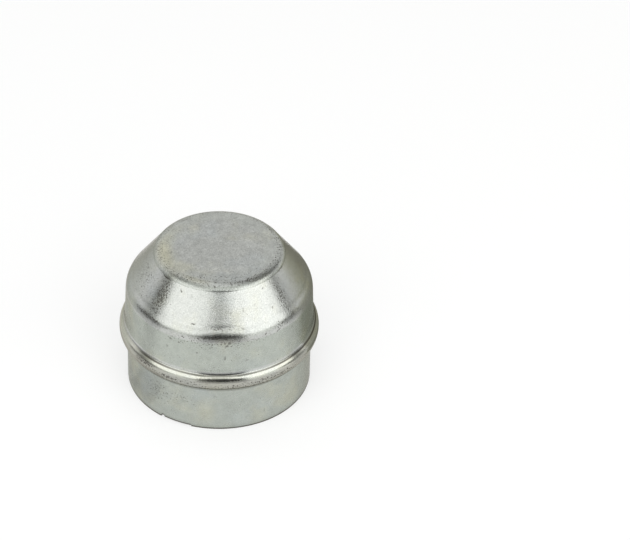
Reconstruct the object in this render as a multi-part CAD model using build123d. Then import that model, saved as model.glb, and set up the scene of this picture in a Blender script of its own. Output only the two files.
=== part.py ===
"""Hub grease cap: a cup drawn from thin steel sheet that is pressed into the bore of a trailer's wheel hub.

The cap stands on its open mouth. The origin is the centre of the mouth, +Z runs up the axis to the closed
nose, and -Y is the front. Sizes are in millimetres and angles in degrees. Radii are those of the outside.
"""
import math
import os

from build123d import *

# Sheet and press fit
SHEET = 1.0                 # thickness of the steel
SKIRT_DIAMETER = 55.5       # outside of the skirt, which grips the hub's bore
SKIRT_LENGTH = 15.15        # straight skirt, from the rim to the bead's lower neck
RIM_CHAMFER = 0.15          # outer edge of the trimmed rim

# Stop bead, which is pushed out of the sheet and seats on the hub's face
BEAD_PROUD = 2.35           # how far the crest stands out from the skirt
BEAD_RADIUS = 3.0           # crest
LOWER_NECK_RADIUS = 1.0     # hollow bend from the skirt into the bead
UPPER_NECK_RADIUS = 1.0     # hollow bend from the bead into the wall

# Wall and cone
WALL_STEP = 0.65            # how far the wall's foot stands outside the skirt
WALL_LENGTH = 10.95         # straight wall, from the bead to the shoulder
WALL_DRAFT = 2.1            # lean of the wall towards the axis
SHOULDER_RADIUS = 4.6       # round bend from the wall into the cone
CONE_SLOPE = 53.2           # slope of the cone above level
CONE_LENGTH = 12.35         # straight cone, along its slope

# Nose, a flat plateau with a round edge that a thin crease sets off from the cone
CREASE_RADIUS = 0.35        # hollow crease at the top of the cone
NOSE_SIDE_SLOPE = 71.5      # slope of the round edge where it leaves the crease
NOSE_EDGE_RADIUS = 2.5      # round edge
NOSE_CROWN_SLOPE = 5.0      # slope that is left at the inside of the round edge
NOSE_CROWN_RADIUS = 40.0    # soft roll from that slope to the level middle

# Flaws of the trimmed rim, placed by their angle from the front, towards -X
NICK_ANGLE = 37.0           # middle of the nick
NICK_WIDTH = 1.6            # along the rim
NICK_DEPTH = 0.9            # up from the rim
SHORT_TRIM_END = 11.5       # where the stretch that was trimmed short steps back to the rim
SHORT_TRIM_DEPTH = 0.4      # how short that stretch is

skirt_radius = SKIRT_DIAMETER / 2
wall_proud = BEAD_PROUD - WALL_STEP


def bead_flank_angles():
    """Angles that the sheet leans out under the bead's crest and in above it."""
    lower_reach = BEAD_RADIUS + LOWER_NECK_RADIUS
    lower = math.degrees(math.acos(1 - BEAD_PROUD / lower_reach))
    upper_reach = BEAD_RADIUS + UPPER_NECK_RADIUS
    drafted_neck = UPPER_NECK_RADIUS * math.cos(math.radians(WALL_DRAFT))
    upper = math.degrees(math.acos((BEAD_RADIUS + drafted_neck - wall_proud) / upper_reach))
    return lower, upper


def bends():
    """The sheet's bends from the skirt to the nose: turn towards the axis, outside radius, straight run after."""
    lower, upper = bead_flank_angles()
    cone_lean = 90 - CONE_SLOPE
    nose_lean = 90 - NOSE_SIDE_SLOPE
    crown_lean = 90 - NOSE_CROWN_SLOPE
    return [
        (-lower, LOWER_NECK_RADIUS, 0),
        (lower + upper, BEAD_RADIUS, 0),
        (WALL_DRAFT - upper, UPPER_NECK_RADIUS, WALL_LENGTH),
        (cone_lean - WALL_DRAFT, SHOULDER_RADIUS, CONE_LENGTH),
        (nose_lean - cone_lean, CREASE_RADIUS, 0),
        (crown_lean - nose_lean, NOSE_EDGE_RADIUS, 0),
        (NOSE_CROWN_SLOPE, NOSE_CROWN_RADIUS, 0),
    ]


def sheet_surface(depth):
    """Half outline of the cap, rim to axis, on the surface that lies this deep inside the outside."""
    foot = Vector(skirt_radius - depth, 0)
    path = [Line(foot, foot + Vector(0, SKIRT_LENGTH))]
    for turn, outside_radius, straight in bends():
        # A bend towards the axis has its centre inside the cap, so its radius shrinks with depth
        radius = outside_radius - math.copysign(depth, turn)
        path.append(JernArc(path[-1] @ 1, path[-1] % 1, radius, turn))
        if straight:
            path.append(Line(path[-1] @ 1, path[-1] @ 1 + (path[-1] % 1) * straight))
    nose = path[-1] @ 1
    path.append(Line(nose, (0, nose.Y)))
    return path


def pressed_cup():
    """The drawn cup: the sheet between its outside and its inside, turned about the axis."""
    outside = sheet_surface(0)
    inside = sheet_surface(SHEET)
    rim = Line(outside[0] @ 0, inside[0] @ 0)
    axis = Line(outside[-1] @ 1, inside[-1] @ 1)
    section = make_face([*outside, axis, *inside, rim])
    cup = revolve(Plane.XZ * section, Axis.Z)
    outer_rim_edge = cup.edges().filter_by(GeomType.CIRCLE).group_by(Axis.Z)[0].sort_by(SortBy.RADIUS)[-1]
    return chamfer(outer_rim_edge, RIM_CHAMFER)


def rim_sector(from_front, angle, height):
    """A low ring sector that covers the rim, swept from this angle before the front to a lesser one."""
    strip = Pos(skirt_radius - SHEET / 2, 0) * Rectangle(3 * SHEET, 2 * height)
    front = -90
    return Rot(0, 0, front - from_front) * revolve(Plane.XZ * strip, Axis.Z, angle)


def rim_flaws():
    """What the trimming left: a nick, and a stretch beside it that is cut a little short."""
    nick_spread = math.degrees(NICK_WIDTH / skirt_radius)
    nick = rim_sector(NICK_ANGLE + nick_spread / 2, nick_spread, NICK_DEPTH)
    short_trim = rim_sector(NICK_ANGLE, NICK_ANGLE - SHORT_TRIM_END, SHORT_TRIM_DEPTH)
    return nick + short_trim


grease_cap = pressed_cup() - rim_flaws()
height = grease_cap.bounding_box().max.Z
print(f"height {height:.2f}, bead across {SKIRT_DIAMETER + 2 * BEAD_PROUD:.2f}, volume {grease_cap.volume:.0f}")

os.makedirs("parts", exist_ok=True)
export_step(grease_cap, "parts/grease_cap.step")
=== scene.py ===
# %% [markdown]
# # A pressed steel hub grease cap
#
# This lesson dresses one small part: a cup drawn from thin steel sheet and plated with zinc, which closes
# the end of a wheel hub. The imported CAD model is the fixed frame. It gives the size and the place, and the
# script builds a finer skin over it, finishes that skin and lights it like a small product shot.

# %% Load the frame
import math

import bpy
from mathutils import Matrix, Vector


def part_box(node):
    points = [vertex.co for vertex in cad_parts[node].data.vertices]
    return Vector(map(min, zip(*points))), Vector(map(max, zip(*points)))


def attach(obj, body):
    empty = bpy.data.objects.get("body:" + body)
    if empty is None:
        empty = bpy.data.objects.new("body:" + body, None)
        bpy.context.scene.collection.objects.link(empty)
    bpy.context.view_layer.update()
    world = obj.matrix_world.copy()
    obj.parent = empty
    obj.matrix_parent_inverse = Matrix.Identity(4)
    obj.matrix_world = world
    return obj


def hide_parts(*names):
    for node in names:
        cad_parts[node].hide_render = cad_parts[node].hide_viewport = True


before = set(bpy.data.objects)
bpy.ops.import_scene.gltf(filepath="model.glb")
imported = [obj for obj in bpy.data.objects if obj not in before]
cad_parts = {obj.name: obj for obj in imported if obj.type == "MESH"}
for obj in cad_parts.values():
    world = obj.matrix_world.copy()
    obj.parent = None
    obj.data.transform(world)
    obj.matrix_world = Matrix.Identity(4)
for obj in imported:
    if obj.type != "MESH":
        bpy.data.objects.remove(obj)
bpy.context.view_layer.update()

MM = 0.001
cap_low, cap_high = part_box("grease_cap")
print("height of the cap in mm:", round((cap_high - cap_low)[2] / MM, 2))

# %% [markdown]
# ## The camera
#
# A turned object tells a lot about the camera that saw it: every ring of the cap becomes an ellipse, and
# the rings shrink with distance. The tilt, roll, focal length and distance below were found by matching the
# cap's outline and its rings. They could be set by eye in the viewport, but then each later comparison of
# shape would mix a wrong camera with a wrong form.

# %% Place the camera
FRAME_WIDTH, FRAME_HEIGHT = 630, 540      # pixels of the image
FOCAL_PIXELS = 2939.8
MOUTH_PIXEL = (219.05, 370.2)             # where the centre of the mouth falls in the image
CAMERA_DISTANCE = 900 * MM                # from the lens to the centre of the mouth
CAMERA_PITCH = math.radians(37.39)        # how far the optical axis looks down
CAMERA_ROLL = math.radians(1.68)
SENSOR_WIDTH = 36.0
NEAREST_SEEN = 0.05


def place_camera():
    """Make the camera, with the cap's front towards it, and return the object."""
    across = (MOUTH_PIXEL[0] - FRAME_WIDTH / 2) / FOCAL_PIXELS
    below = (MOUTH_PIXEL[1] - FRAME_HEIGHT / 2) / FOCAL_PIXELS
    mouth = Vector((across, -below, -1)).normalized() * CAMERA_DISTANCE
    level = math.cos(CAMERA_PITCH)
    up = Vector((math.sin(CAMERA_ROLL) * level, math.cos(CAMERA_ROLL) * level, math.sin(CAMERA_PITCH)))
    away = (mouth - up * mouth.dot(up)).normalized()
    right = away.cross(up)
    turn = Matrix((right, away, up))
    data = bpy.data.cameras.new("camera")
    data.sensor_width = SENSOR_WIDTH
    data.lens = FOCAL_PIXELS / FRAME_WIDTH * SENSOR_WIDTH
    data.clip_start = NEAREST_SEEN
    camera = bpy.data.objects.new("camera", data)
    camera.matrix_world = Matrix.LocRotScale(-(turn @ mouth), turn.to_quaternion(), None)
    bpy.context.scene.collection.objects.link(camera)
    bpy.context.scene.camera = camera
    return camera


camera = place_camera()
print("camera at", [round(v, 3) for v in camera.location], "lens", round(camera.data.lens, 1))

# %% [markdown]
# ## The section of the sheet
#
# The real cap starts as a flat disc that a press draws into a cup, so its wall has one thickness and every
# corner is a bend. The section could be traced as a list of points, but here it is followed like a walk: a
# straight run, a turn to the left or right on a given radius, the next run. Walking the same bends on the
# outside and on the inside gives both faces of the sheet, and each radius changes by the thickness.

# %% Set the sizes of the section
SHEET = 1.0                               # all section sizes are in millimetres and degrees
SKIRT_RADIUS, SKIRT_LENGTH = 27.75, 14.95
RIM_CHAMFER = 0.15
BEAD_PROUD, BEAD_RADIUS = 2.35, 3.4
LOWER_NECK, UPPER_NECK = 1.0, 1.5
FOOT_FLARE, FOOT_RADIUS = 13.0, 9.0       # soft sweep at the foot of the wall, above the upper neck
WALL_STEP, WALL_LENGTH, WALL_DRAFT = 0.59, 8.806, 2.1
SHOULDER_RADIUS, CONE_SLOPE, CONE_LENGTH = 5.8, 53.2, 11.975
CREASE_RADIUS, NOSE_SIDE_SLOPE, NOSE_EDGE_RADIUS = 0.35, 63.0, 3.2
NOSE_CROWN_SLOPE, NOSE_CROWN_RADIUS = 5.0, 40.0
print("across the skirt and the bead in mm:", 2 * SKIRT_RADIUS, 2 * (SKIRT_RADIUS + BEAD_PROUD))

# %% List the bends


def flank_angles():
    """How far the sheet leans out under the bead's crest and in above it."""
    lower = math.acos(1 - BEAD_PROUD / (BEAD_RADIUS + LOWER_NECK))
    flared, drafted = math.cos(math.radians(FOOT_FLARE)), math.cos(math.radians(WALL_DRAFT))
    foot = UPPER_NECK * flared + FOOT_RADIUS * (drafted - flared)
    upper = math.acos((BEAD_RADIUS + foot - BEAD_PROUD + WALL_STEP) / (BEAD_RADIUS + UPPER_NECK))
    return math.degrees(lower), math.degrees(upper)


def bends():
    """Zone, turn towards the axis, outside radius, zone of the straight run that follows, its length."""
    lower, upper = flank_angles()
    cone, nose, crown = 90 - CONE_SLOPE, 90 - NOSE_SIDE_SLOPE, 90 - NOSE_CROWN_SLOPE
    return [
        ("lower neck", -lower, LOWER_NECK, None, 0),
        ("bead", lower + upper, BEAD_RADIUS, None, 0),
        ("upper neck", FOOT_FLARE - upper, UPPER_NECK, None, 0),
        ("wall foot", WALL_DRAFT - FOOT_FLARE, FOOT_RADIUS, "wall", WALL_LENGTH),
        ("shoulder", cone - WALL_DRAFT, SHOULDER_RADIUS, "cone", CONE_LENGTH),
        ("crease", nose - cone, CREASE_RADIUS, None, 0),
        ("nose edge", crown - nose, NOSE_EDGE_RADIUS, None, 0),
        ("crown", NOSE_CROWN_SLOPE, NOSE_CROWN_RADIUS, None, 0),
    ]


print("bends:", [(zone, round(turn, 1)) for zone, turn, *_ in bends()])

# %% Walk along one face of the sheet
DIE_MARK_START, DIE_MARK_WIDTH, DIE_MARK_DEPTH = 0.15, 2.4, 0.042    # a faint ring at the foot of the cone
DIE_MARK_ROWS = 10
FEWEST_STEPS = 2                          # rows on the smallest bend


def straight(start, end, zone, longest):
    """Rows along a straight run, without its first point."""
    steps = max(1, math.ceil((end - start).length / longest))
    return [(start.lerp(end, (i + 1) / steps), zone) for i in range(steps)]


def marked_straight(start, end, zone, longest):
    """Rows along the cone with the shallow ring that the die's edge left in it."""
    along = (end - start).normalized()
    inwards = Vector((-along.y, along.x))
    first = start + along * DIE_MARK_START
    last = first + along * DIE_MARK_WIDTH
    ring = []
    for i in range(1, DIE_MARK_ROWS):
        sunk = DIE_MARK_DEPTH * (1 - math.cos(math.tau * i / DIE_MARK_ROWS)) / 2
        ring.append((first + along * DIE_MARK_WIDTH * i / DIE_MARK_ROWS + inwards * sunk, zone))
    ring.append((last, zone))
    return straight(start, first, zone, longest) + ring + straight(last, end, zone, longest)


def bend_rows(place, heading, zone, turn, radius, steps):
    """Rows round a bend that begins at this place and heading."""
    side = math.copysign(1, turn)
    start = math.radians(heading)
    centre = place - Vector((math.cos(start), math.sin(start))) * side * radius
    rows = []
    for i in range(steps):
        angle = math.radians(heading + turn * (i + 1) / steps)
        rows.append((centre + Vector((math.cos(angle), math.sin(angle))) * side * radius, zone))
    return rows


def sheet_rows(depth, longest, largest):
    """Rows of one face of the sheet, from above the rim to the axis: (radius, height) and zone."""
    foot = Vector((SKIRT_RADIUS - depth, RIM_CHAMFER))
    place = Vector((foot.x, SKIRT_LENGTH))
    heading = 0.0
    rows = [(foot, "skirt")] + straight(foot, place, "skirt", longest)
    for zone, turn, outside_radius, run_zone, run in bends():
        radius = outside_radius - math.copysign(1, turn) * depth
        arc = abs(math.radians(turn)) * radius
        steps = max(FEWEST_STEPS, math.ceil(abs(turn) / largest), math.ceil(arc / longest))
        rows += bend_rows(place, heading, zone, turn, radius, steps)
        place = rows[-1][0]
        heading += turn
        if run:
            angle = math.radians(heading)
            end = place + Vector((-math.sin(angle), math.cos(angle))) * run
            marked = run_zone == "cone" and depth == 0
            rows += (marked_straight if marked else straight)(place, end, run_zone, longest)
            place = end
    return rows + straight(place, Vector((0, place.y)), "nose flat", longest)


OUTSIDE_STEPS = (0.8, 5.0)                # longest run and largest turn between two rows
print("rows on the outside:", len(sheet_rows(0, *OUTSIDE_STEPS)))

# %% Close the section round the rim
INSIDE_STEPS = (2.4, 12.0)


def rim_rows():
    """Rows across the trimmed rim, from its chamfered outer edge to the burr at its inner edge."""
    outer, inner = SKIRT_RADIUS, SKIRT_RADIUS - SHEET
    burr = RIM_CHAMFER / 2
    points = [
        (outer - RIM_CHAMFER / 4, RIM_CHAMFER / 2),
        (outer - RIM_CHAMFER, 0),
        (outer - SHEET / 2, 0),
        (inner + burr, 0),
    ]
    return [(Vector(point), "rim") for point in points]


def section_rows():
    """The whole section: nose to rim outside, round the rim, and rim to nose inside."""
    outside = sheet_rows(0, *OUTSIDE_STEPS)[::-1]
    inside = [(place, "inside") for place, zone in sheet_rows(SHEET, *INSIDE_STEPS)]
    return outside + rim_rows() + inside


rows = section_rows()
print("section rows:", len(rows), "top", round(max(p.y for p, z in rows), 3))

# %% [markdown]
# ## Finish carried by the section
#
# The press leaves each zone with its own skin: the nose is struck by a grained punch, the cone and the bead
# slide over hard tools and come out burnished, and the walls stay satin. Those masks could be painted on
# the finished mesh, but here they ride along the section as plain numbers, one for each row, and the spin
# below hands them on to the surface, where the material reads them.

# %% Make the section line
GRAINED = {"nose flat": 1.0, "crown": 0.8, "nose edge": 0.5}
BURNISHED = {"nose edge": 0.4, "crease": 0.5, "cone": 1.0, "shoulder": 0.9, "bead": 1.0, "upper neck": 1.2}


def section_line():
    """A line of vertices along the section, with the distance walked and the zone's finish on each."""
    mesh = bpy.data.meshes.new("section")
    points = [(place.x * MM, 0, place.y * MM) for place, zone in rows]
    edges = [(i, i + 1) for i in range(len(points) - 1)]
    mesh.from_pydata(points, edges, [])
    walked = [0.0]
    for (here, _), (there, _) in zip(rows, rows[1:]):
        walked.append(walked[-1] + (there - here).length)
    values = {
        "run": walked,
        "grain": [GRAINED.get(zone, 0.0) for place, zone in rows],
        "burnish": [BURNISHED.get(zone, 0.0) for place, zone in rows],
        "inside": [float(zone == "inside") for place, zone in rows],
    }
    for name, numbers in values.items():
        mesh.attributes.new(name, "FLOAT", "POINT").data.foreach_set("value", numbers)
    line = bpy.data.objects.new("section", mesh)
    bpy.context.scene.collection.objects.link(line)
    return line, walked


section, walked = section_line()
run_at = {}
for distance, (place, zone) in zip(walked, rows):
    run_at.setdefault(zone, [distance, distance])[1] = distance
print("zones along the sheet in mm:", {z: [round(v, 1) for v in span] for z, span in run_at.items()})

# %% [markdown]
# ## Spinning the sheet with Geometry Nodes
#
# A lathe form follows one rule: every row of the section runs once round the axis. The tree below takes a
# plain grid, reads for each vertex its row of the section and its column round the axis, and moves it
# there. A Screw modifier could spin the line as well, but the tree can also crowd its columns where the rim
# has a nick, lift the rim where it was trimmed short, and let the sheet buckle by hundredths of a
# millimetre. A few helpers come first, since every tree in this lesson is built from the same steps.

# %% Write helpers for node trees


def add(tree, kind, **settings):
    """A new node, with its options set."""
    made = tree.nodes.new(kind)
    for name, value in settings.items():
        setattr(made, name, value)
    return made


def feed(tree, socket, value):
    """Link an output to a socket, or set the socket to a plain value."""
    if isinstance(value, bpy.types.NodeSocket):
        tree.links.new(value, socket)
    else:
        socket.default_value = value


def calc(tree, operation, *values):
    """One step of arithmetic."""
    step = add(tree, "ShaderNodeMath", operation=operation)
    for socket, value in zip(step.inputs, values):
        feed(tree, socket, value)
    return step.outputs["Value"]


def times(tree, first, *others):
    """Several values multiplied together."""
    for other in others:
        first = calc(tree, "MULTIPLY", first, other)
    return first


def ramp(tree, value, low, high, to_low=0.0, to_high=1.0, smooth=True):
    """A value carried from one range to another, held at the ends."""
    kind = "SMOOTHSTEP" if smooth else "LINEAR"
    step = add(tree, "ShaderNodeMapRange", interpolation_type=kind)
    for socket, number in zip(step.inputs, (value, low, high, to_low, to_high)):
        feed(tree, socket, number)
    return step.outputs["Result"]


print("node helpers:", [helper.__name__ for helper in (add, feed, calc, times, ramp)])

# %% Name the inputs of the tree
CAP_INPUTS = {
    "Section": ("NodeSocketObject", section),
    "Columns": ("NodeSocketInt", 420),
    "Crowding": ("NodeSocketFloat", 0.5),
    "Nick Angle": ("NodeSocketFloat", math.radians(37.0)),
    "Nick Width": ("NodeSocketFloat", 1.6 * MM),
    "Nick Depth": ("NodeSocketFloat", 0.9 * MM),
    "Short Trim End": ("NodeSocketFloat", math.radians(11.5)),
    "Short Trim Depth": ("NodeSocketFloat", 0.4 * MM),
    "Rim Reach": ("NodeSocketFloat", 3.0 * MM),
    "Buckle Height": ("NodeSocketFloat", 0.03 * MM),
    "Buckles per Metre": ("NodeSocketFloat", 90.0),
    "Seed": ("NodeSocketFloat", 4.0),
    "Finish": ("NodeSocketMaterial", None),
}


def tree_inputs(tree):
    sockets = {}
    for name, (kind, value) in CAP_INPUTS.items():
        sockets[name] = tree.interface.new_socket(name, in_out="INPUT", socket_type=kind)
    tree.interface.new_socket("Geometry", in_out="OUTPUT", socket_type="NodeSocketGeometry")
    return sockets, add(tree, "NodeGroupInput").outputs


print("inputs of the tree:", len(CAP_INPUTS))

# %% Carry values from the section to the mesh
CARRIED = ("run", "grain", "burnish", "inside")


def read_row(tree, section_mesh, row, name, kind="FLOAT"):
    """One attribute of the section, read at a vertex's row."""
    if name == "position":
        source = add(tree, "GeometryNodeInputPosition").outputs[0]
    else:
        attribute = add(tree, "GeometryNodeInputNamedAttribute", data_type=kind)
        attribute.inputs["Name"].default_value = name
        source = attribute.outputs["Attribute"]
    sample = add(tree, "GeometryNodeSampleIndex", data_type=kind, domain="POINT")
    feed(tree, sample.inputs["Geometry"], section_mesh)
    feed(tree, sample.inputs["Value"], source)
    feed(tree, sample.inputs["Index"], row)
    return sample.outputs["Value"]


def store(tree, geometry, name, value, kind="FLOAT", domain="POINT"):
    """Keep a value on the mesh under a name."""
    keep = add(tree, "GeometryNodeStoreNamedAttribute", data_type=kind, domain=domain)
    feed(tree, keep.inputs["Geometry"], geometry)
    keep.inputs["Name"].default_value = name
    feed(tree, keep.inputs["Value"], value)
    return keep.outputs["Geometry"]


print("values carried to the mesh:", CARRIED)

# %% Raise the rim where it was trimmed
NICK_FLAT = 0.45                          # share of the nick's half width that has its full depth
TRIM_STEP = math.radians(0.5)             # over which the short stretch steps back to the rim


def rim_lift(tree, given, angle, height):
    """How far the trimming raised the rim at this angle: the nick, and the stretch beside it."""
    off_nick = calc(tree, "ABSOLUTE", calc(tree, "SUBTRACT", angle, given["Nick Angle"]))
    along = times(tree, off_nick, SKIRT_RADIUS * MM)
    half_width = times(tree, given["Nick Width"], 0.5)
    nick = ramp(tree, along, times(tree, half_width, NICK_FLAT), half_width, 1.0, 0.0)
    nick = times(tree, nick, given["Nick Depth"])
    trim_end, nick_angle = given["Short Trim End"], given["Nick Angle"]
    begins = ramp(tree, angle, trim_end, calc(tree, "ADD", trim_end, TRIM_STEP))
    ends = ramp(tree, angle, calc(tree, "SUBTRACT", nick_angle, TRIM_STEP), nick_angle, 1.0, 0.0)
    short = times(tree, begins, ends, given["Short Trim Depth"])
    near_rim = ramp(tree, height, 0.0, given["Rim Reach"], 1.0, 0.0, smooth=False)
    return times(tree, calc(tree, "MAXIMUM", nick, short), near_rim)


print("nick in mm:", [round(CAP_INPUTS[name][1] / MM, 2) for name in ("Nick Width", "Nick Depth")])

# %% Lay out the grid and place its vertices


def section_grid(tree, given):
    """A plain grid with a row for each row of the section, the section's line, and the number of rows."""
    info = add(tree, "GeometryNodeObjectInfo")
    feed(tree, info.inputs["Object"], given["Section"])
    line = info.outputs["Geometry"]
    size = add(tree, "GeometryNodeAttributeDomainSize", component="MESH")
    feed(tree, size.inputs["Geometry"], line)
    row_count = size.outputs["Point Count"]
    grid = add(tree, "GeometryNodeMeshGrid")
    feed(tree, grid.inputs["Vertices X"], calc(tree, "ADD", given["Columns"], 1.0))
    feed(tree, grid.inputs["Vertices Y"], row_count)
    return grid.outputs["Mesh"], line, row_count


def row_and_turn(tree, given, row_count):
    """A vertex's row, its even turn round the axis, and its angle, crowded towards the nick."""
    index = add(tree, "GeometryNodeInputIndex").outputs["Index"]
    column = calc(tree, "FLOOR", calc(tree, "DIVIDE", calc(tree, "ADD", index, 0.5), row_count))
    row = calc(tree, "SUBTRACT", index, times(tree, column, row_count))
    even = times(tree, calc(tree, "DIVIDE", column, given["Columns"]), math.tau)
    swing = calc(tree, "SINE", calc(tree, "SUBTRACT", even, given["Nick Angle"]))
    return row, even, calc(tree, "SUBTRACT", even, times(tree, swing, given["Crowding"]))


def spun_position(tree, angle, radius, height):
    """The place of a vertex: the front is -Y, and angles grow from it towards -X."""
    place = add(tree, "ShaderNodeCombineXYZ")
    flipped = times(tree, radius, -1.0)
    feed(tree, place.inputs["X"], times(tree, flipped, calc(tree, "SINE", angle)))
    feed(tree, place.inputs["Y"], times(tree, flipped, calc(tree, "COSINE", angle)))
    feed(tree, place.inputs["Z"], height)
    return place.outputs["Vector"]


print("grid columns:", CAP_INPUTS["Columns"][1], "rows:", len(rows))

# %% Build the spinning tree
WELD_DISTANCE = 0.001 * MM


def buckled(tree, given, geometry):
    """The sheet pressed in here and there by a few hundredths of a millimetre."""
    cloud = add(tree, "ShaderNodeTexNoise", noise_dimensions="4D")
    feed(tree, cloud.inputs["W"], given["Seed"])
    feed(tree, cloud.inputs["Scale"], given["Buckles per Metre"])
    cloud.inputs["Detail"].default_value = 1.0
    push = add(tree, "ShaderNodeVectorMath", operation="SCALE")
    feed(tree, push.inputs["Vector"], add(tree, "GeometryNodeInputNormal").outputs["Normal"])
    feed(tree, push.inputs["Scale"], times(tree, cloud.outputs["Fac"], given["Buckle Height"], -1.0))
    buckle = add(tree, "GeometryNodeSetPosition")
    feed(tree, buckle.inputs["Geometry"], geometry)
    feed(tree, buckle.inputs["Offset"], push.outputs["Vector"])
    return buckle.outputs["Geometry"]


def plated(tree, given, geometry):
    """The sheet shaded smooth, made real and given its finish."""
    smooth = add(tree, "GeometryNodeSetShadeSmooth")
    feed(tree, smooth.inputs["Geometry"], geometry)
    realize = add(tree, "GeometryNodeRealizeInstances")
    feed(tree, realize.inputs["Geometry"], smooth.outputs["Geometry"])
    finish = add(tree, "GeometryNodeSetMaterial")
    feed(tree, finish.inputs["Geometry"], realize.outputs["Geometry"])
    feed(tree, finish.inputs["Material"], given["Finish"])
    return finish.outputs["Geometry"]


def spun_sheet_tree():
    """The tree that spins the section, and its input sockets."""
    tree = bpy.data.node_groups.new("spun_sheet", "GeometryNodeTree")
    sockets, given = tree_inputs(tree)
    geometry, line, row_count = section_grid(tree, given)
    row, even, angle = row_and_turn(tree, given, row_count)
    place = add(tree, "ShaderNodeSeparateXYZ")
    feed(tree, place.inputs["Vector"], read_row(tree, line, row, "position", "FLOAT_VECTOR"))
    height = calc(tree, "ADD", place.outputs["Z"], rim_lift(tree, given, angle, place.outputs["Z"]))
    for name in CARRIED:
        geometry = store(tree, geometry, name, read_row(tree, line, row, name))
    sheet_uv = add(tree, "ShaderNodeCombineXYZ")
    feed(tree, sheet_uv.inputs["X"], calc(tree, "DIVIDE", even, math.tau))
    feed(tree, sheet_uv.inputs["Y"], calc(tree, "DIVIDE", row, row_count))
    geometry = store(tree, geometry, "UVMap", sheet_uv.outputs["Vector"], "FLOAT2", "CORNER")
    spin = add(tree, "GeometryNodeSetPosition")
    feed(tree, spin.inputs["Geometry"], geometry)
    feed(tree, spin.inputs["Position"], spun_position(tree, angle, place.outputs["X"], height))
    weld = add(tree, "GeometryNodeMergeByDistance")
    feed(tree, weld.inputs["Geometry"], spin.outputs["Geometry"])
    weld.inputs["Distance"].default_value = WELD_DISTANCE
    sheet = plated(tree, given, buckled(tree, given, weld.outputs["Geometry"]))
    feed(tree, add(tree, "NodeGroupOutput").inputs["Geometry"], sheet)
    return tree, sockets


sheet_tree, sheet_sockets = spun_sheet_tree()
print("spinning tree:", len(sheet_tree.nodes), "nodes")

# %% [markdown]
# ## One plain mesh
#
# The cap is a single pressing, so the tree's result becomes one closed mesh that stands for the CAD solid.
# The modifier could stay live, but an export keeps only what is real, and a plain mesh at the origin also
# holds its attributes still for the finish. Its volume tells whether the faces point outwards.

# %% Spin the cap
zinc_plate = bpy.data.materials.new("zinc_plate")


def spin_cap():
    """Run the tree and keep its result as a plain mesh."""
    blank = bpy.data.objects.new("blank", bpy.data.meshes.new("blank"))
    bpy.context.scene.collection.objects.link(blank)
    modifier = blank.modifiers.new("spin", "NODES")
    modifier.node_group = sheet_tree
    for name, (kind, value) in CAP_INPUTS.items():
        modifier[sheet_sockets[name].identifier] = zinc_plate if name == "Finish" else value
    graph = bpy.context.evaluated_depsgraph_get()
    mesh = bpy.data.meshes.new_from_object(blank.evaluated_get(graph))
    mesh.name = "pressed_cap"
    cap = bpy.data.objects.new("pressed_cap", mesh)
    bpy.context.scene.collection.objects.link(cap)
    for helper in (blank, section):
        bpy.data.objects.remove(helper)
    return cap


def enclosed_volume(mesh):
    """Volume inside a closed mesh in cubic millimetres; it is negative if the faces point inwards."""
    mesh.calc_loop_triangles()
    corners = [[mesh.vertices[i].co for i in face.vertices] for face in mesh.loop_triangles]
    return sum(a.dot(b.cross(c)) for a, b, c in corners) / 6 / MM ** 3


cap = spin_cap()
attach(cap, "root")
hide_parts("grease_cap")
cap_volume = enclosed_volume(cap.data)
print("cap: triangles", len(cap.data.loop_triangles), "volume mm3", round(cap_volume, 1))

# %% [markdown]
# ## Zinc plate
#
# Bright zinc is a metal skin a few micrometres thick: pale grey, a little green where it is thick, with
# faint straw and blue films left by the passivating bath. It could be an image texture, but a procedural
# finish has no seams and no fixed resolution. The shader is one metallic Principled BSDF. Its colour and
# roughness follow the zones carried by the mesh, and fine bumps break up the edges of the reflections, as
# they do on real sheet. First come the helpers that read the surface at each point.

# %% Write helpers for the finish


def attribute(tree, name):
    """A number that the mesh carries under this name."""
    return add(tree, "ShaderNodeAttribute", attribute_name=name).outputs["Fac"]


def noise_node(tree, where, size, detail, rough, seed):
    """A noise texture with blotches about this many millimetres across."""
    made = add(tree, "ShaderNodeTexNoise", noise_dimensions="4D")
    feed(tree, made.inputs["Vector"], where)
    made.inputs["W"].default_value = seed
    made.inputs["Scale"].default_value = 1 / size
    made.inputs["Detail"].default_value = detail
    made.inputs["Roughness"].default_value = rough
    return made


def noise(tree, where, size, seed, detail=2.0, rough=0.5):
    """Cloudy noise between 0 and 1."""
    return noise_node(tree, where, size, detail, rough, seed).outputs["Fac"]


def tint(tree, base, over, share, blend="MIX"):
    """One colour laid over another."""
    mix = add(tree, "ShaderNodeMix", data_type="RGBA", blend_type=blend)
    feed(tree, mix.inputs["Factor"], share)
    for socket, value in ((mix.inputs[6], base), (mix.inputs[7], over)):
        feed(tree, socket, value)
    return mix.outputs[2]


def vector_step(tree, operation, *values):
    """One step of vector arithmetic; the node is returned, for it has two kinds of output."""
    step = add(tree, "ShaderNodeVectorMath", operation=operation)
    for socket, value in zip(step.inputs, values):
        feed(tree, socket, value)
    return step


print("finish helpers:", [helper.__name__ for helper in (attribute, noise, tint, vector_step)])

# %% Read the surface
RAGGED_SIZE, RAGGED_SHIFT, RAGGED_SEED = 0.6, 0.9, 12.0    # how the edges of marks are broken up
OUTER_FADE = 0.3                          # part of a soft edge outside the oval, as a share of that inside


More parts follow.
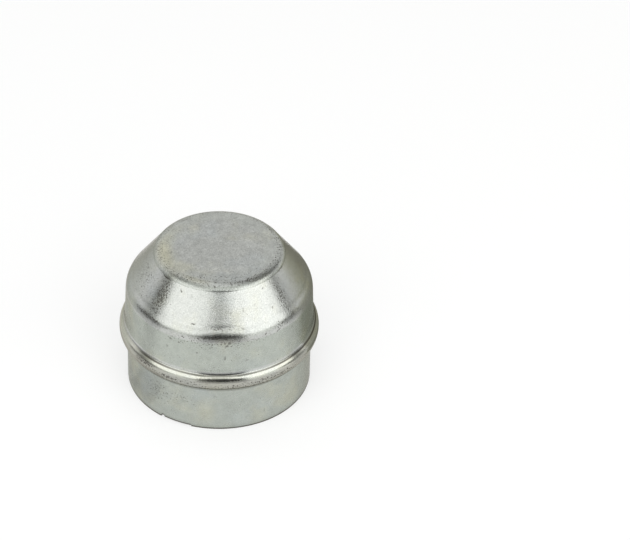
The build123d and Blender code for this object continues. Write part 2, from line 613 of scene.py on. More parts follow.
class Surface:
    """What the finish can read at a point of the sheet; lengths are in millimetres."""

    def __init__(self, tree):
        place = add(tree, "ShaderNodeTexCoord").outputs["Object"]
        in_mm = vector_step(tree, "SCALE", place)
        in_mm.inputs["Scale"].default_value = 1 / MM
        self.place = in_mm.outputs["Vector"]
        parts = add(tree, "ShaderNodeSeparateXYZ")
        feed(tree, parts.inputs["Vector"], self.place)
        left = times(tree, parts.outputs["X"], -1.0)
        front = times(tree, parts.outputs["Y"], -1.0)
        self.angle = calc(tree, "ARCTAN2", left, front)
        across = calc(tree, "ADD", calc(tree, "POWER", left, 2.0), calc(tree, "POWER", front, 2.0))
        self.radius = calc(tree, "SQRT", across)
        self.run, self.grain, self.burnish, self.inside = [attribute(tree, name) for name in CARRIED]
        self.sheet = self.unrolled(tree)

    def unrolled(self, tree):
        """Place on the unrolled sheet, arc and run, a little ragged so that marks have no clean edges."""
        flat = add(tree, "ShaderNodeCombineXYZ")
        feed(tree, flat.inputs["X"], times(tree, self.angle, self.radius))
        feed(tree, flat.inputs["Y"], self.run)
        cloud = noise_node(tree, self.place, RAGGED_SIZE, 1.0, 0.5, RAGGED_SEED).outputs["Color"]
        spread, centre = (RAGGED_SHIFT, RAGGED_SHIFT, 0.0), (-RAGGED_SHIFT / 2, -RAGGED_SHIFT / 2, 0.0)
        shift = vector_step(tree, "MULTIPLY_ADD", cloud, spread, centre)
        return vector_step(tree, "ADD", flat.outputs["Vector"], shift.outputs["Vector"]).outputs["Vector"]

    def patch(self, tree, angle, run, length, width, tilt, depth, soft=0.6):
        """An oval on the sheet, this deep in its middle; untilted, its length runs round the cap."""
        nearest = min(range(len(rows)), key=lambda i: abs(walked[i] - run))
        arc = math.radians(angle) * rows[nearest][0].x
        oval = add(tree, "ShaderNodeMapping", vector_type="TEXTURE")
        feed(tree, oval.inputs["Vector"], self.sheet)
        oval.inputs["Location"].default_value = (arc, run, 0)
        oval.inputs["Rotation"].default_value = (0, 0, math.radians(tilt))
        oval.inputs["Scale"].default_value = (length / 2, width / 2, 1)
        off = vector_step(tree, "LENGTH", oval.outputs["Vector"]).outputs["Value"]
        return ramp(tree, off, 1.0 - soft, 1.0 + OUTER_FADE * soft, depth, 0.0)


print("the finish reads", CARRIED, "and the place on the unrolled sheet")

# %% [markdown]
# ## Marks, specks and films
#
# A pressing that was tumbled, plated and shipped in bulk is never clean: it has scratches and small dents,
# pinholes in the plating that show as dark specks, and films where the bath dried. Noise alone could
# scatter them, but they sit where the tools and the hands left them, so each is an oval laid on the
# unrolled sheet. Only the single specks inside an oval are left to noise, for they are too many to place.

# %% List the marks and the films
# Each oval: angle from the front, run along the sheet, length, width, tilt and depth
MARKS = [
    (17.2, 30.3, 1.6, 0.5, 20, 0.75), (32.4, 22.0, 0.45, 1.2, 15, 0.7), (22.0, 22.5, 0.6, 1.3, 30, 0.2),
    (-38.0, 21.7, 0.7, 0.8, 0, 0.6), (-39.6, 28.2, 0.5, 0.65, 0, 0.45), (-17.6, 26.2, 0.6, 1.8, 10, 0.28),
    (-8.0, 26.7, 0.8, 0.9, 0, 0.22), (-14.8, 31.4, 2.0, 0.7, -40, 0.25), (-29.6, 34.6, 1.1, 0.55, 35, 0.7),
    (-38.8, 35.1, 0.8, 0.7, 0, 0.6), (-51.6, 33.2, 2.6, 1.3, 40, 0.6), (-50.0, 36.9, 1.1, 0.9, 0, 0.3),
    (-6.4, 35.6, 1.3, 0.9, 20, 0.6), (-4.8, 36.5, 1.2, 0.8, -20, 0.6), (30.8, 36.6, 0.9, 0.8, 0, 0.5),
    (32.8, 39.8, 0.8, 0.9, 0, 0.35), (24.8, 37.1, 0.9, 0.8, 0, 0.5), (22.4, 36.8, 0.7, 0.7, 0, 0.4),
    (13.2, 39.5, 0.9, 0.9, 0, 0.45), (-3.6, 41.0, 0.7, 1.6, 0, 0.45), (-16.8, 42.4, 0.9, 0.9, 0, 0.28),
    # The long bands at the right of the nose edge, at -34, -52 and -66 degrees, are painted shade, not wear
    (51.0, 20.6, 4.0, 0.55, 0, 0.95), (-34.0, 18.3, 22.0, 1.7, -3, 0.34), (-66.0, 20.4, 7.0, 0.45, 0, 0.5),
    (-52.0, 18.85, 3.2, 1.1, -3, 0.5), (-29.2, 65.1, 0.6, 2.0, 10, 0.2), (2.4, 57.2, 1.6, 0.8, -20, 0.18),
    (109.0, 14.9, 1.0, 0.9, 0, 0.22), (-126.0, 17.7, 9.0, 0.5, 0, 0.4), (139.0, 16.9, 5.0, 0.5, 0, 0.35),
]
# Places where dark specks gather
SPECKLED = [
    (0.0, 35.6, 60.0, 4.6, 0, 0.43), (78.0, 25.8, 31.0, 13.5, 0, 0.45), (39.2, 60.5, 16.0, 11.0, 0, 0.64),
    (0.0, 51.5, 110.0, 3.6, 0, 0.6), (100.0, 15.2, 26.0, 5.5, 0, 0.3), (0.0, 15.6, 34.0, 4.2, 0, 0.42),
    (-45.0, 34.0, 16.0, 4.0, 0, 0.5), (47.0, 26.3, 6.0, 18.0, -26, 1.0), (-50.5, 26.3, 5.0, 17.0, 28, 0.66),
    (50.0, 33.3, 14.0, 2.2, 0, 1.0), (-34.0, 18.2, 22.0, 2.4, -3, 0.9), (0.0, 31.2, 11.0, 1.6, 0, 0.7),
    (0.0, 34.0, 22.0, 1.4, 0, 1.0), (28.0, 50.3, 30.0, 2.2, 0, 0.8), (-32.0, 50.3, 26.0, 2.2, 0, 0.9),
    (48.0, 49.3, 11.0, 2.4, 0, 1.0), (21.0, 60.2, 15.0, 4.4, 0, 0.62),
]
# Straw films of the passivating bath
STRAW = [(82.0, 16.6, 26.0, 6.4, 0, 0.85), (8.4, 63.0, 7.0, 12.0, 0, 0.45), (25.0, 17.5, 12.0, 2.5, 0, 0.5)]
print("marks:", len(MARKS), "speckled places:", len(SPECKLED), "films:", len(STRAW))

# %% Gather the specks
WIDE_SOFT = 0.9                           # soft edge of speckled places and films, as a share of the oval
SPECK_SIZE, SPECK_CLOUD = 0.38, 4.0       # of one speck, and of the clouds that specks come in
CLOUD_RANGE = (0.25, 0.7, 0.55, 1.0)
SPECK_SHARE = 0.315                       # what a full place adds to the noise
SPECK_EDGE = (0.69, 0.77)                 # noise at which a speck begins and at which it is full
RING_INSET, RING_SOFT, RING_DEPTH = 1.2, 0.6, 0.5          # speckled ring round the edge of the nose
SPECK_DARK, SKIRT_DARK, LEFT_SHARE = 0.85, 0.62, 0.75      # specks are fainter on the skirt and the left
SKIRT_BLEND = 0.5                         # half the run over which they grow fainter at the skirt's top
LEFT_START = (52, 60)                     # angles in degrees over which they grow fainter on the left


def band(tree, run, low, high, soft):
    """1 between two distances along the sheet, fading out over a soft edge."""
    rises = ramp(tree, run, low - soft, low)
    falls = ramp(tree, run, high, high + soft, 1.0, 0.0)
    return times(tree, rises, falls)


def turn_ramp(tree, angle, low, high, to_low, to_high):
    """A value that changes between two angles round the cap, in degrees."""
    return ramp(tree, angle, math.radians(low), math.radians(high), to_low, to_high)


def deepest(tree, masks):
    """The largest of several masks at each point; a generator makes each mask just before its use."""
    total = 0.0
    for mask in masks:
        total = calc(tree, "MAXIMUM", total, mask)
    return total


def specks(tree, at):
    """Small dark pits in the plating, many in the places listed above and round the edge of the nose."""
    gathered = deepest(tree, (at.patch(tree, *place, soft=WIDE_SOFT) for place in SPECKLED))
    edge_low, edge_high = run_at["nose edge"]
    ring = band(tree, at.run, edge_low, edge_high - RING_INSET, RING_SOFT)
    gathered = calc(tree, "MAXIMUM", gathered, times(tree, ring, RING_DEPTH))
    cloudy = ramp(tree, noise(tree, at.place, SPECK_CLOUD, seed=4.0), *CLOUD_RANGE)
    likely = times(tree, gathered, cloudy, SPECK_SHARE)
    dots = calc(tree, "ADD", noise(tree, at.place, SPECK_SIZE, seed=3.0, detail=1.0), likely)
    return ramp(tree, dots, *SPECK_EDGE)


def pitting(tree, at):
    """Marks and specks together: how much of the bright zinc is gone."""
    marks = deepest(tree, (at.patch(tree, *mark) for mark in MARKS))
    skirt_top = run_at["skirt"][0]
    dark = ramp(tree, at.run, skirt_top - SKIRT_BLEND, skirt_top + SKIRT_BLEND, SPECK_DARK, SKIRT_DARK)
    dark = times(tree, dark, turn_ramp(tree, at.angle, *LEFT_START, 1.0, LEFT_SHARE))
    return calc(tree, "MAXIMUM", marks, times(tree, specks(tree, at), dark))


print("edge of the nose at", [round(v, 1) for v in run_at["nose edge"]], "mm from its middle")

# %% [markdown]
# ## Colour of the zinc
#
# Each zone of the real cap has its own shade, because the tools left each with another skin: the bead is
# the palest. The skirt, satin like the wall, is made darker as painted shade, for it mirrors the floor where
# the cap shades it. Over that lie the films, a fine mottle, painted shade in the hollow bends and under the
# bead, and grime with painted shade at the raw rim. One flat grey with grime on top could do, but the shades
# are what tell the zones apart where the reflections are plain, so they are laid one over the other as
# washes.

# %% Lay the films, the grime and the painted shade
STRAW_FILM, BLUE_FILM = (0.548, 0.540, 0.420, 1), (0.470, 0.520, 0.550, 1)
STRAW_CLOUD, STRAW_RANGE = 9.0, (0.48, 0.75, 0.0, 0.45)
BLUE_CLOUD, BLUE_RANGE = 12.0, (0.5, 0.75, 0.0, 0.35)
# Bands of painted shade in the hollow bends, and of grime and painted shade at the rim. Zone, how far its
# band is shifted at the end near the nose and at the other, soft edge and strength
SHADE_AND_GRIME_BANDS = [
    ("lower neck", 0.35, 0.1, 0.4, 0.36),
    ("crease", -0.05, 0.0, 0.12, 0.08),
    # At the rim the raw cut edge is dark, and the bands reach up the skirt as painted shade where the cap
    # meets the floor
    ("rim", -0.42, 0.0, 0.25, 0.85),
    ("rim", -1.0, 0.0, 0.6, 0.1),
]
# Painted shade: the dark line where the upper neck meets the bead
NECK_START, NECK_STOP, NECK_SOFT = -0.1, 0.25, 0.22        # dark line where the upper neck meets the bead
NECK_STRENGTH, NECK_FRONT = (0.56, 0.86), (24, 40)         # fainter at the front than beside it
NECK_LEFT_END, NECK_RIGHT_END, NECK_REST = (48, 60), (-135, -105), 0.15


def films(tree, at, colour):
    """Straw and blue films over the zinc, so thin that they only tint it."""
    straw = deepest(tree, (at.patch(tree, *place, soft=WIDE_SOFT) for place in STRAW))
    cloudy = ramp(tree, noise(tree, at.place, STRAW_CLOUD, seed=1.0, detail=3.0, rough=0.55), *STRAW_RANGE)
    colour = tint(tree, colour, STRAW_FILM, calc(tree, "MAXIMUM", straw, cloudy))
    blue = ramp(tree, noise(tree, at.place, BLUE_CLOUD, seed=2.0), *BLUE_RANGE)
    return tint(tree, colour, BLUE_FILM, blue)


def painted_neck_shade(tree, at):
    """A line of painted shade over the bead: strongest beside the front, faint on the far left and at the
    back.
    """
    strength = turn_ramp(tree, calc(tree, "ABSOLUTE", at.angle), *NECK_FRONT, *NECK_STRENGTH)
    left = turn_ramp(tree, at.angle, *NECK_LEFT_END, 1.0, NECK_REST)
    right = turn_ramp(tree, at.angle, *NECK_RIGHT_END, NECK_REST, 1.0)
    neck_foot = run_at["upper neck"][1]
    line = band(tree, at.run, neck_foot + NECK_START, neck_foot + NECK_STOP, NECK_SOFT)
    return times(tree, line, times(tree, strength, left, right))


def shade_and_grime(tree, at):
    """Painted shade in the hollow bends and over the bead, and grime with painted shade at the raw edge of
    the rim.
    """
    masks = [painted_neck_shade(tree, at)]
    for zone, start, stop, soft, strength in SHADE_AND_GRIME_BANDS:
        low, high = run_at[zone]
        masks.append(times(tree, band(tree, at.run, low + start, high + stop, soft), strength))
    return deepest(tree, masks)


print("shaded and grimy places:", [zone for zone, *_ in SHADE_AND_GRIME_BANDS] + ["upper neck"])

# %% Mix the colour
WALL_ZINC = (0.460, 0.490, 0.446, 1)
# The skirt is satin like the wall; it is darker than the wall as painted shade, for it mirrors the floor
# where the cap shades it
SKIRT_ZINC_AND_SHADE = (0.424, 0.450, 0.414, 1)
CONE_ZINC = (0.541, 0.552, 0.531, 1)
NOSE_ZINC = (0.488, 0.500, 0.478, 1)
BEAD_ZINC = (0.608, 0.608, 0.545, 1)
# Dark of the marks, the specks and the raw rim, and also of the painted shade in the hollows and under the
# bead
DARK_GRIME_AND_SHADE = (0.085, 0.078, 0.066, 1)
ZONE_SOFT = 0.6                           # soft edge between the shades of two zones
# Painted shade on the lower flank of the bead, which mirrors the floor where the cap shades it
BEAD_FOOT, BEAD_FOOT_SOFT, BEAD_FOOT_SHADE = 2.1, 0.9, 0.33
# Mottle: size, seed, and what the grain and the burnish add to its strength
MOTTLES = [(2.4, 10.0, 0.8, -0.5), (0.33, 9.0, 3.2, 1.0)]
MOTTLE_RANGE = (0.25, 0.75, -0.08, 0.08)


def zinc_colour(tree, at, pits):
    """Pale zinc, tinted by its films, mottled by its grain, darkened by grime and marks, and by painted
    shade under the bead, in the hollows and at the rim.
    """
    bead_low, bead_high = run_at["bead"]
    skirt_low, skirt_high = run_at["skirt"]
    colour = tint(tree, WALL_ZINC, CONE_ZINC, at.burnish)
    colour = tint(tree, colour, NOSE_ZINC, at.grain)
    colour = tint(tree, colour, BEAD_ZINC, band(tree, at.run, bead_low, bead_high, ZONE_SOFT))
    colour = tint(tree, colour, SKIRT_ZINC_AND_SHADE, band(tree, at.run, skirt_low, skirt_high, ZONE_SOFT))
    colour = films(tree, at, colour)
    # painted shade on the bead's lower flank
    bead_foot_shade = band(tree, at.run, bead_low + BEAD_FOOT, bead_high, BEAD_FOOT_SOFT)
    colour = tint(tree, colour, DARK_GRIME_AND_SHADE, times(tree, bead_foot_shade, BEAD_FOOT_SHADE))
    for size, seed, struck, rubbed in MOTTLES:
        cloud = noise(tree, at.place, size, seed, detail=3.0, rough=0.6)
        mottle = ramp(tree, cloud, *MOTTLE_RANGE, smooth=False)
        burnished = calc(tree, "MULTIPLY_ADD", at.burnish, rubbed, 1.0)
        amount = calc(tree, "MULTIPLY_ADD", at.grain, struck, burnished)
        shade = calc(tree, "MULTIPLY_ADD", mottle, amount, 1.0)
        colour = tint(tree, colour, shade, 1.0, "MULTIPLY")
    return tint(tree, colour, DARK_GRIME_AND_SHADE, calc(tree, "MAXIMUM", shade_and_grime(tree, at), pits))


print("shades of zinc:", len((WALL_ZINC, SKIRT_ZINC_AND_SHADE, CONE_ZINC, NOSE_ZINC, BEAD_ZINC)))

# %% [markdown]
# ## Gloss and grain
#
# Rolled sheet has a fine tooth that the plating follows, and the press irons it flat where the tools rub.
# It could be modelled in the mesh, but it is far finer than any row of vertices, so a bump of a few tens of
# micrometres gives the sparkle and a change of roughness gives the sheen.

# %% Set the gloss and the relief
SATIN, RUBBED_SATIN = 0.25, 0.17          # roughness of the walls and of the burnished zones
GRAIN_DULL, INSIDE_DULL, PIT_DULL = 0.08, 0.12, 0.2
DULL_CLOUD, DULL_RANGE = 3.0, (0.25, 0.75, -0.03, 0.05)
SKIN_SIZE, SKIN_HEIGHT, SKIN_RUBBED = 0.28, 46.0, 0.85     # heights are in micrometres
IRONED_HEIGHT, IRONED_SOFT = 8.0, 0.5
IRONED_OVER_NECK, IRONED_ON_BEAD = 0.3, 2.6                # how far the ironed band leaves the upper neck
PEEL_SIZE, PEEL_HEIGHT, PEEL_RUBBED = 1.8, 18.0, 10.0


def zinc_roughness(tree, at, pits):
    """Satin walls, smoother where the tools burnished the sheet, duller on the struck nose and inside."""
    satin = ramp(tree, at.burnish, 0.0, 1.0, SATIN, RUBBED_SATIN, smooth=False)
    struck = times(tree, at.grain, GRAIN_DULL)
    dull = times(tree, at.inside, INSIDE_DULL)
    cloudy = ramp(tree, noise(tree, at.place, DULL_CLOUD, seed=5.0, detail=3.0, rough=0.6), *DULL_RANGE)
    total = calc(tree, "ADD", calc(tree, "ADD", satin, struck), calc(tree, "ADD", dull, cloudy))
    return calc(tree, "ADD", total, times(tree, pits, PIT_DULL))


def zinc_relief(tree, at):
    """Height of the skin's own texture in micrometres; the upper neck and the bead's top are ironed flat."""
    neck_top, neck_foot = run_at["upper neck"]
    pressed = band(tree, at.run, neck_top - IRONED_OVER_NECK, neck_foot + IRONED_ON_BEAD, IRONED_SOFT)
    ironed = ramp(tree, pressed, 0.0, 1.0, SKIN_HEIGHT, IRONED_HEIGHT)
    rubbed = ramp(tree, at.burnish, 0.0, 1.0, 1.0, SKIN_RUBBED, smooth=False)
    skin = times(tree, noise(tree, at.place, SKIN_SIZE, seed=6.0, rough=0.6), ironed, rubbed)
    rolled = ramp(tree, at.burnish, 0.0, 1.0, PEEL_HEIGHT, PEEL_RUBBED, smooth=False)
    peel = times(tree, noise(tree, at.place, PEEL_SIZE, seed=7.0, detail=1.0), rolled)
    return calc(tree, "ADD", skin, peel)


smoothest = RUBBED_SATIN + DULL_RANGE[2]
roughest = SATIN + INSIDE_DULL + DULL_RANGE[3] + PIT_DULL
print("roughness from", round(smoothest, 2), "to", round(roughest, 2))

# %% Fill the zinc material
EDGE_TINT = (0.60, 0.585, 0.545, 1)       # colour of the metal where it is seen edge on
MICROMETRE = 0.001 * MM


def finish_zinc(material):
    """Fill the material's node tree."""
    material.use_nodes = True
    tree = material.node_tree
    shader = tree.nodes["Principled BSDF"]
    shader.inputs["Metallic"].default_value = 1.0
    shader.inputs["Specular Tint"].default_value = EDGE_TINT
    at = Surface(tree)
    pits = pitting(tree, at)
    feed(tree, shader.inputs["Base Color"], zinc_colour(tree, at, pits))
    feed(tree, shader.inputs["Roughness"], zinc_roughness(tree, at, pits))
    bump = add(tree, "ShaderNodeBump")
    bump.inputs["Strength"].default_value = 1.0
    bump.inputs["Distance"].default_value = MICROMETRE
    feed(tree, bump.inputs["Height"], zinc_relief(tree, at))
    feed(tree, shader.inputs["Normal"], bump.outputs["Normal"])


finish_zinc(zinc_plate)
print("zinc finish:", len(zinc_plate.node_tree.nodes), "nodes")

# %% [markdown]
# ## Floor
#
# The cap stands on a sheet of white board. Lit board is never quite white, so the lens and the reflections
# see it lifted towards white while it keeps its soft shadow. More light on it would do that too, but it
# would also burn out the cap.

# %% Lay the floor
WHITE_FLOOR = (0.90, 0.90, 0.90, 1)
FLOOR_RADIUS, FLOOR_SIDES = 2.0, 72
FLOOR_LIFT = 0.6


def plain_material(name, colour, roughness):
    """A matt material of one colour for the stage."""
    material = bpy.data.materials.new(name)
    material.use_nodes = True
    shader = material.node_tree.nodes["Principled BSDF"]
    shader.inputs["Base Color"].default_value = colour
    shader.inputs["Roughness"].default_value = roughness
    shader.inputs["Specular IOR Level"].default_value = 0.0
    return material


def flat_panel(name, corners, material):
    """A flat panel of the stage from its corners."""
    mesh = bpy.data.meshes.new(name)
    mesh.from_pydata(corners, [], [tuple(range(len(corners)))])
    mesh.materials.append(material)
    panel = bpy.data.objects.new(name, mesh)
    bpy.context.scene.collection.objects.link(panel)
    return panel


def from_lens_side(azimuth, elevation, distance):
    """A place round the cap: azimuth 0 is the lens side, and it grows to the right."""
    turn, lift = math.radians(azimuth), math.radians(elevation)
    level = distance * math.cos(lift)
    return Vector((level * math.sin(turn), -level * math.cos(turn), distance * math.sin(lift)))


def lifted(material, lift):
    """Show the material this much closer to white, to the lens and in reflections, and keep its shadows."""
    tree = material.node_tree
    ray = add(tree, "ShaderNodeLightPath")
    seen = calc(tree, "MAXIMUM", ray.outputs["Is Camera Ray"], ray.outputs["Is Glossy Ray"])
    seen = calc(tree, "MAXIMUM", seen, ray.outputs["Is Transmission Ray"])
    mix = add(tree, "ShaderNodeMixShader")
    feed(tree, mix.inputs[0], times(tree, seen, lift))
    feed(tree, mix.inputs[1], tree.nodes["Principled BSDF"].outputs["BSDF"])
    feed(tree, mix.inputs[2], add(tree, "ShaderNodeEmission").outputs["Emission"])
    feed(tree, tree.nodes["Material Output"].inputs["Surface"], mix.outputs["Shader"])
    return material


floor_edge = [from_lens_side(i * 360 / FLOOR_SIDES, 0, FLOOR_RADIUS) for i in range(FLOOR_SIDES)]
white_board = lifted(plain_material("white_floor", WHITE_FLOOR, 1.0), FLOOR_LIFT)
floor = flat_panel("floor", floor_edge, white_board)
print("floor radius m:", FLOOR_RADIUS, "corners:", len(floor.data.vertices))

# %% [markdown]
# ## Softboxes
#
# Polished metal has little colour of its own: it shows the room. Two wide softboxes to the left and right
# of the lens make the bright lobes on the cone, a small one high in front lightens the gap between them,
# and a fill that reflections don't show lights the floor. An HDR image could stand in for all of it, but a
# few lamps are easier to aim, and each bright reflection can be traced back to one of them.

# %% Hang the softboxes
LAMP_DISTANCE = 1.2
# Name, azimuth of the middle, elevation, half spread across, half spread up and down, brightness
SOFTBOXES = [
    ("softbox_left", -45.2, 28.0, 28.8, 15.0, 0.97),
    ("softbox_right", 50.5, 28.0, 32.9, 15.0, 1.16),
    ("softbox_front", 2.0, 44.0, 14.0, 5.5, 0.70),
    ("floor_fill", 0, 52, 30, 20, 1.75),
]


def softbox(name, azimuth, elevation, half_across, half_up, brightness):
    """A rectangular lamp that faces the cap; its power follows from how bright its face looks."""
    lamp = bpy.data.lights.new(name, "AREA")
    lamp.shape = "RECTANGLE"
    lamp.size = 2 * LAMP_DISTANCE * math.tan(math.radians(half_across))
    lamp.size_y = 2 * LAMP_DISTANCE * math.tan(math.radians(half_up))
    lamp.energy = brightness * math.pi * lamp.size * lamp.size_y
    holder = bpy.data.objects.new(name, lamp)
    holder.location = from_lens_side(azimuth, elevation, LAMP_DISTANCE)
    holder.rotation_euler = (-holder.location).to_track_quat("-Z", "Y").to_euler()
    bpy.context.scene.collection.objects.link(holder)
    return holder


lamps = [softbox(*values) for values in SOFTBOXES]
lamps[-1].visible_glossy = False
print("lamps:", [(lamp.name, round(lamp.data.energy, 2)) for lamp in lamps])

# %% [markdown]
# ## Cards
#
# A studio photographer shapes a reflection with cards: dark ones put an edge on a bright wall, grey ones
# dim it. Here a nearly black card under the lens draws the dark lines along the bends, cards on the floor
# dim what the wall and the skirt mirror, and a card on each side, the right one in strips, grades the
# flanks. Dark paint on the zinc could fake that, but it would turn with the cap, as no reflection does.

# %% Write the card helpers
CARD_LIFT = 0.001                         # how high a card lies above the floor
SECTOR_STEPS = 8
CARD_DISTANCE = 0.6                       # of the front card


def card(name, corners, grey):
    """A card that only shapes reflections: the camera doesn't see it and it throws no shadow."""
    material = bpy.data.materials.new(name)
    material.use_nodes = True
    shader = material.node_tree.nodes["Principled BSDF"]
    shader.inputs["Base Color"].default_value = (0, 0, 0, 1)
    shader.inputs["Specular IOR Level"].default_value = 0.0
    shader.inputs["Emission Color"].default_value = (grey[0], grey[1], grey[2], 1)
    shader.inputs["Emission Strength"].default_value = 1.0
    panel = flat_panel(name, corners, material)
    panel.visible_camera = False
    panel.visible_shadow = False
    panel.visible_diffuse = False
    return panel


def card_corner(azimuth, elevation):
    """Where the ray in this direction meets the plane of the front card."""
    ray = from_lens_side(azimuth, elevation, 1.0)
    return ray * (CARD_DISTANCE / -ray.y)


def sector_corners(start, stop, near, far):
    """A piece of a ring on the floor."""
    turns = [start + (stop - start) * i / SECTOR_STEPS for i in range(SECTOR_STEPS + 1)]
    inner = [from_lens_side(turn, 0, near) for turn in turns]
    outer = [from_lens_side(turn, 0, far) for turn in turns[::-1]]
    return [corner + Vector((0, 0, CARD_LIFT)) for corner in inner + outer]


print("a card on the floor has", len(sector_corners(0, 1, 1, 2)), "corners")

# %% Set the cards
# Front card: its upper corners as azimuth and elevation seen from the cap, its lower ones in metres
CARD_TOP = [(28, 22), (14, 31), (-8, 31), (-21, 22)]
CARD_FOOT = [(-0.23, -0.6, 0.012), (0.32, -0.6, 0.012)]
FRONT_GREY = (0.03, 0.03, 0.03)
# Left card and the two edges of the right card, in millimetres; each leans away from the cap
LEFT_CORNERS = [(-85, 10, 1), (-40, 110, 1), (-60, 190, 50), (-150, 30, 50)]
LEFT_GREY = (0.72, 0.735, 0.705)
RIGHT_EDGES = [((50, -5, 1), (108, 8, 44)), ((28, 34, 1), (34, 92, 44))]
# Strips of the right card: where each begins and ends as a share of the edges, and its colour
RIGHT_STRIPS = [
    (0.0, 0.3, (0.42, 0.43, 0.385)), (0.3, 0.65, (0.38, 0.38, 0.33)), (0.65, 0.76, (0.40, 0.40, 0.33)),
    (0.76, 1.0, (0.48, 0.48, 0.39)), (1.0, 1.28, (0.66, 0.66, 0.60)),
]
# Cards that lie on the floor: azimuth from and to, nearest and farthest distance in metres, grey
FLOOR_CARDS = [
    (-21, 28, 0.086, 0.11, 0.66), (-21, 28, 0.11, 0.15, 0.54), (-21, 28, 0.15, 0.6, 0.42),
    (-110, -64, 0.085, 0.17, 0.66), (-110, -64, 0.17, 0.55, 0.48), (-110, -64, 0.55, 1.5, 0.12),
    (76, 100, 0.085, 0.17, 0.66), (76, 100, 0.17, 1.5, 0.34),
    (-78, -50, 0.0285, 0.044, 0.78), (-81, -66, 0.05, 0.085, 0.76), (69, 86, 0.05, 0.085, 0.8),
]
front_corners = [Vector(corner) for corner in CARD_FOOT] + [card_corner(*corner) for corner in CARD_TOP]
left_corners = [Vector(corner) * MM for corner in LEFT_CORNERS]
cards = [card("front_card", front_corners, FRONT_GREY), card("left_card", left_corners, LEFT_GREY)]
for number, (low, high, grey) in enumerate(RIGHT_STRIPS):
    foot = [Vector(start).lerp(Vector(stop), low) * MM for start, stop in RIGHT_EDGES]
    head = [Vector(start).lerp(Vector(stop), high) * MM for start, stop in RIGHT_EDGES[::-1]]
    cards.append(card(f"right_card_{number}", foot + head, grey))
for number, (*sector, grey) in enumerate(FLOOR_CARDS):
    cards.append(card(f"floor_card_{number}", sector_corners(*sector), (grey, grey, grey)))
print("cards:", len(cards))

# %% [markdown]
# ## The room
#
# What the lamps and cards leave open, the cap mirrors from the room: dark side walls that draw the streaks
# beside the bright lobes, a pale wall behind that fills the far sides, and a bright ceiling over the nose.
# Real walls could be built, but a world that is painted by direction is lighter to render, and each wall's
# edge can be set where its reflection shows. Directions are an azimuth from the lens side, the same to the
# left and right, and an elevation, both in degrees.

# %% Find the direction of the light


class Outlook:
    """The direction that a ray of the world comes from."""

    def __init__(self, tree):
        parts = add(tree, "ShaderNodeSeparateXYZ")
        feed(tree, parts.inputs["Vector"], add(tree, "ShaderNodeTexCoord").outputs["Generated"])
        self.right, self.away, self.up = (parts.outputs[axis] for axis in "XYZ")
        self.front = times(tree, self.away, -1.0)
        sideways = calc(tree, "ABSOLUTE", self.right)
        self.azimuth = calc(tree, "DEGREES", calc(tree, "ARCTAN2", sideways, self.front))
        self.elevation = calc(tree, "DEGREES", calc(tree, "ARCSINE", self.up))


def new_room():
    """An empty world for the scene; its node tree is returned."""
    world = bpy.data.worlds.new("room")
    bpy.context.scene.world = world
    world.use_nodes = True
    return world.node_tree


room = new_room()
outlook = Outlook(room)
print("room tree:", len(room.nodes), "nodes")

# %% Paint the walls
FRONT_WALL, SIDE_WALL, SIDE_TOP, BACK_WALL = 0.58, 0.25, 0.62, 0.89
# Edges are azimuths; the light changes between the other pairs, elevations or shares to the right or front
BACK_EDGE, MIDDLE = (90.5, 91.5), (-0.2, 0.2)              # azimuth of the back wall's edge, left and right
FOOT_EDGE, NEAR_FLOOR = 106.0, (0.0, 7.0)                  # the same edge at the floor
EDGE_RETREAT, BESIDE_LAMPS = 8.0, (32.0, 38.0)             # how far it steps back higher up
BACK_BLEND, SIDE_BLEND = 13.0, 12.0                        # degrees over which one wall becomes another
SIDE_EDGE, SIDE_LEAN = (64.0, 76.0), (3.0, 14.0)           # azimuth of the side walls' front edge
SIDE_PALES, SIDE_DARKENS, SIDE_DARK = (20.0, 30.0), (34.0, 39.0), 0.2


def back_share(tree, look):
    """How far the back wall covers the side wall; its edge lies further back at the floor and high up."""
    edge = ramp(tree, look.right, *MIDDLE, *BACK_EDGE)
    start = ramp(tree, look.elevation, *NEAR_FLOOR, FOOT_EDGE, edge)
    start = calc(tree, "ADD", start, ramp(tree, look.elevation, *BESIDE_LAMPS, 0.0, EDGE_RETREAT))
    return ramp(tree, calc(tree, "SUBTRACT", look.azimuth, start), 0.0, BACK_BLEND)


def plain_walls(tree, look, back):
    """Front, side and back walls; the sides are dark low down, paler halfway up and dark again above."""
    side = ramp(tree, look.elevation, *SIDE_PALES, SIDE_WALL, SIDE_TOP)
    side = times(tree, side, ramp(tree, look.elevation, *SIDE_DARKENS, 1.0, SIDE_DARK))
    start = ramp(tree, look.elevation, *SIDE_LEAN, *SIDE_EDGE)
    walls = ramp(tree, calc(tree, "SUBTRACT", look.azimuth, start), 0.0, SIDE_BLEND, FRONT_WALL, side)
    return calc(tree, "MULTIPLY_ADD", back, calc(tree, "SUBTRACT", BACK_WALL, side), walls)


back = back_share(room, outlook)
walls = plain_walls(room, outlook, back)
print("walls: front", FRONT_WALL, "sides", SIDE_WALL, "to", SIDE_TOP, "back", BACK_WALL)

# %% Grade the walls
# Where there are four numbers, the last two are the values at both ends of the change
BELOW_LAMPS, LOW_EDGE = (9.0, 17.0), (62.0, 72.0)          # paler foot of the front wall
LOW_RIGHT, LOW_LEFT = (0.2, 0.45, 0.0, 0.5), (-0.7, -0.45, 0.32, 0.0)
SKIRTING, SKIRTING_LEFT, SKIRTING_BACK = (1.0, 6.0), (-0.85, -0.75, 0.8, 0.0), (-0.3, -0.15)
ABOVE_LAMPS, TOP_FRONT, TOP_GAIN = (46.0, 51.0), (0.0, 0.2), 0.45
UPPER_BACK, UPPER_LEAN, UPPER_DROP = (44.0, 52.0), (-0.05, 0.3, 0.8, 2.2), 0.32
RIGHT_RISE, RIGHT_SIDE, RIGHT_DROP = (16.0, 26.0), (0.45, 0.65), 0.5


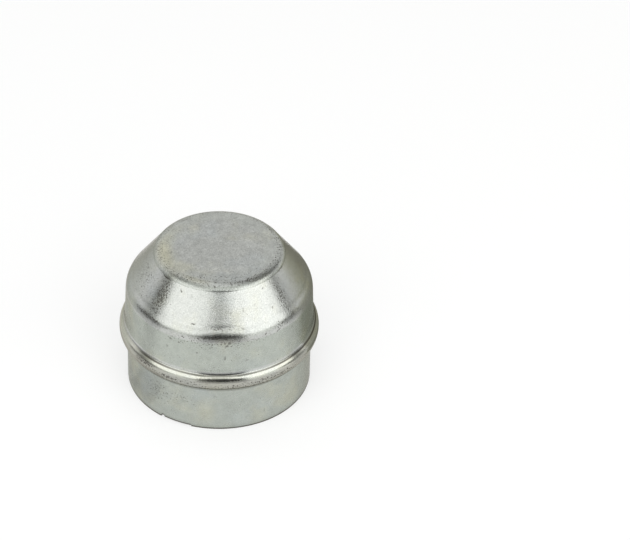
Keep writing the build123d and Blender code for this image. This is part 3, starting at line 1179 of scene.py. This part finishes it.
def graded_front(tree, look, walls):
    """The front wall is paler below the lamps and above them, and the left wall darker at the floor."""
    below_lamps = ramp(tree, look.elevation, *BELOW_LAMPS, 1.0, 0.0)
    low = times(tree, below_lamps, ramp(tree, look.azimuth, *LOW_EDGE, 1.0, 0.0))
    low_right = times(tree, low, ramp(tree, look.right, *LOW_RIGHT))
    low_left = times(tree, low, ramp(tree, look.right, *LOW_LEFT))
    walls = calc(tree, "ADD", walls, calc(tree, "ADD", low_right, low_left))
    skirting = ramp(tree, look.elevation, *SKIRTING, 1.0, 0.0)
    skirting = times(tree, skirting, ramp(tree, look.right, *SKIRTING_LEFT))
    skirting = times(tree, skirting, ramp(tree, look.front, *SKIRTING_BACK))
    walls = times(tree, walls, calc(tree, "SUBTRACT", 1.0, skirting))
    top = times(tree, ramp(tree, look.elevation, *ABOVE_LAMPS), ramp(tree, look.front, *TOP_FRONT))
    return times(tree, walls, calc(tree, "MULTIPLY_ADD", top, TOP_GAIN, 1.0))


def graded_back(tree, look, back, walls):
    """The back wall darkens upwards, more so on the right, where it starts to darken lower."""
    upper = times(tree, ramp(tree, look.elevation, *UPPER_BACK), back, ramp(tree, look.right, *UPPER_LEAN))
    walls = calc(tree, "SUBTRACT", walls, times(tree, upper, UPPER_DROP))
    right = times(tree, ramp(tree, look.elevation, *RIGHT_RISE), ramp(tree, look.right, *RIGHT_SIDE))
    return calc(tree, "SUBTRACT", walls, times(tree, right, times(tree, back, RIGHT_DROP)))


walls = graded_back(room, outlook, back, graded_front(room, outlook, walls))
print("room tree:", len(room.nodes), "nodes")

# %% Hang the ceiling and light the room
CEILING, CEILING_EDGE = 1.05, (58.0, 70.0)
CEILING_TILT = math.radians(3)            # the ceiling hangs a little to the back
SIDE_TINT, NEUTRAL = (0.975, 1.0, 0.95, 1), (1, 1, 1, 1)


def light_room(tree, look, back, walls):
    """Join the walls and the ceiling; the front and side walls are a little green, the rest is neutral."""
    tilted = times(tree, look.away, math.sin(CEILING_TILT))
    over = calc(tree, "MULTIPLY_ADD", look.up, math.cos(CEILING_TILT), tilted)
    overhead = ramp(tree, calc(tree, "DEGREES", calc(tree, "ARCSINE", over)), *CEILING_EDGE)
    below = times(tree, walls, calc(tree, "SUBTRACT", 1.0, overhead))
    light = calc(tree, "ADD", below, times(tree, overhead, CEILING))
    background = tree.nodes["Background"]
    feed(tree, background.inputs["Strength"], calc(tree, "MAXIMUM", light, 0.0))
    neutral = calc(tree, "MAXIMUM", back, overhead)
    feed(tree, background.inputs["Color"], tint(tree, SIDE_TINT, NEUTRAL, neutral))


light_room(room, outlook, back, walls)
bpy.context.scene.view_settings.view_transform = "Standard"
print("room painted:", len(room.nodes), "nodes")
